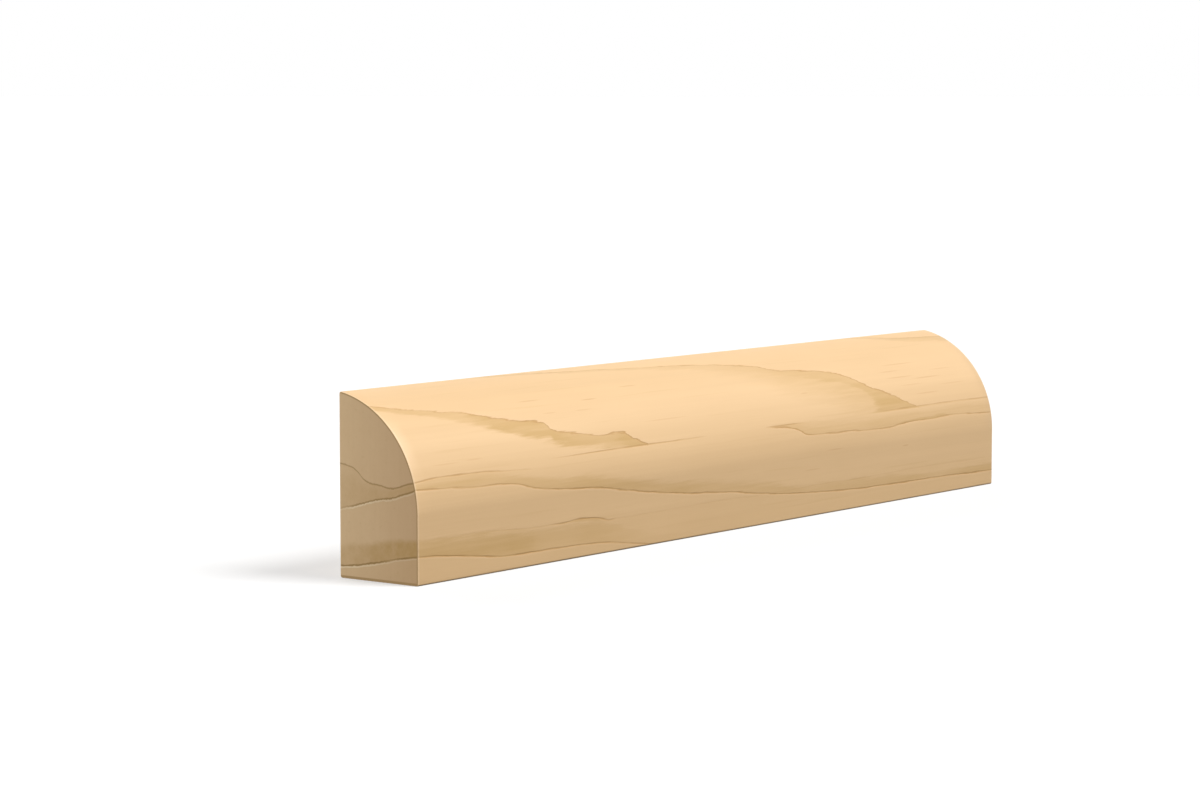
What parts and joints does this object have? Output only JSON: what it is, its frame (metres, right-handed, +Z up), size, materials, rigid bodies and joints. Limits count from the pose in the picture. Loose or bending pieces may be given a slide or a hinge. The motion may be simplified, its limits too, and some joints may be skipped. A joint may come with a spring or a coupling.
{
  "type": "shoe moulding",
  "caption": "Short length of pine shoe moulding with a flat back, a flat bottom and a straight front that rounds over to the top of the back. It covers the joint between skirting and floor.",
  "frame": {"origin": "on the flat bottom face, midway along the length and midway from the front to the back", "axes": "+X along the length, +Y towards the wall that the back lies against, +Z up from the floor"},
  "size_m": [0.1016, 0.0096, 0.0174],
  "materials": {
    "clear_pine": "matte"
  },
  "bodies": {
    "root": {"shoe_moulding": "clear_pine"}
  },
  "joints": []
}
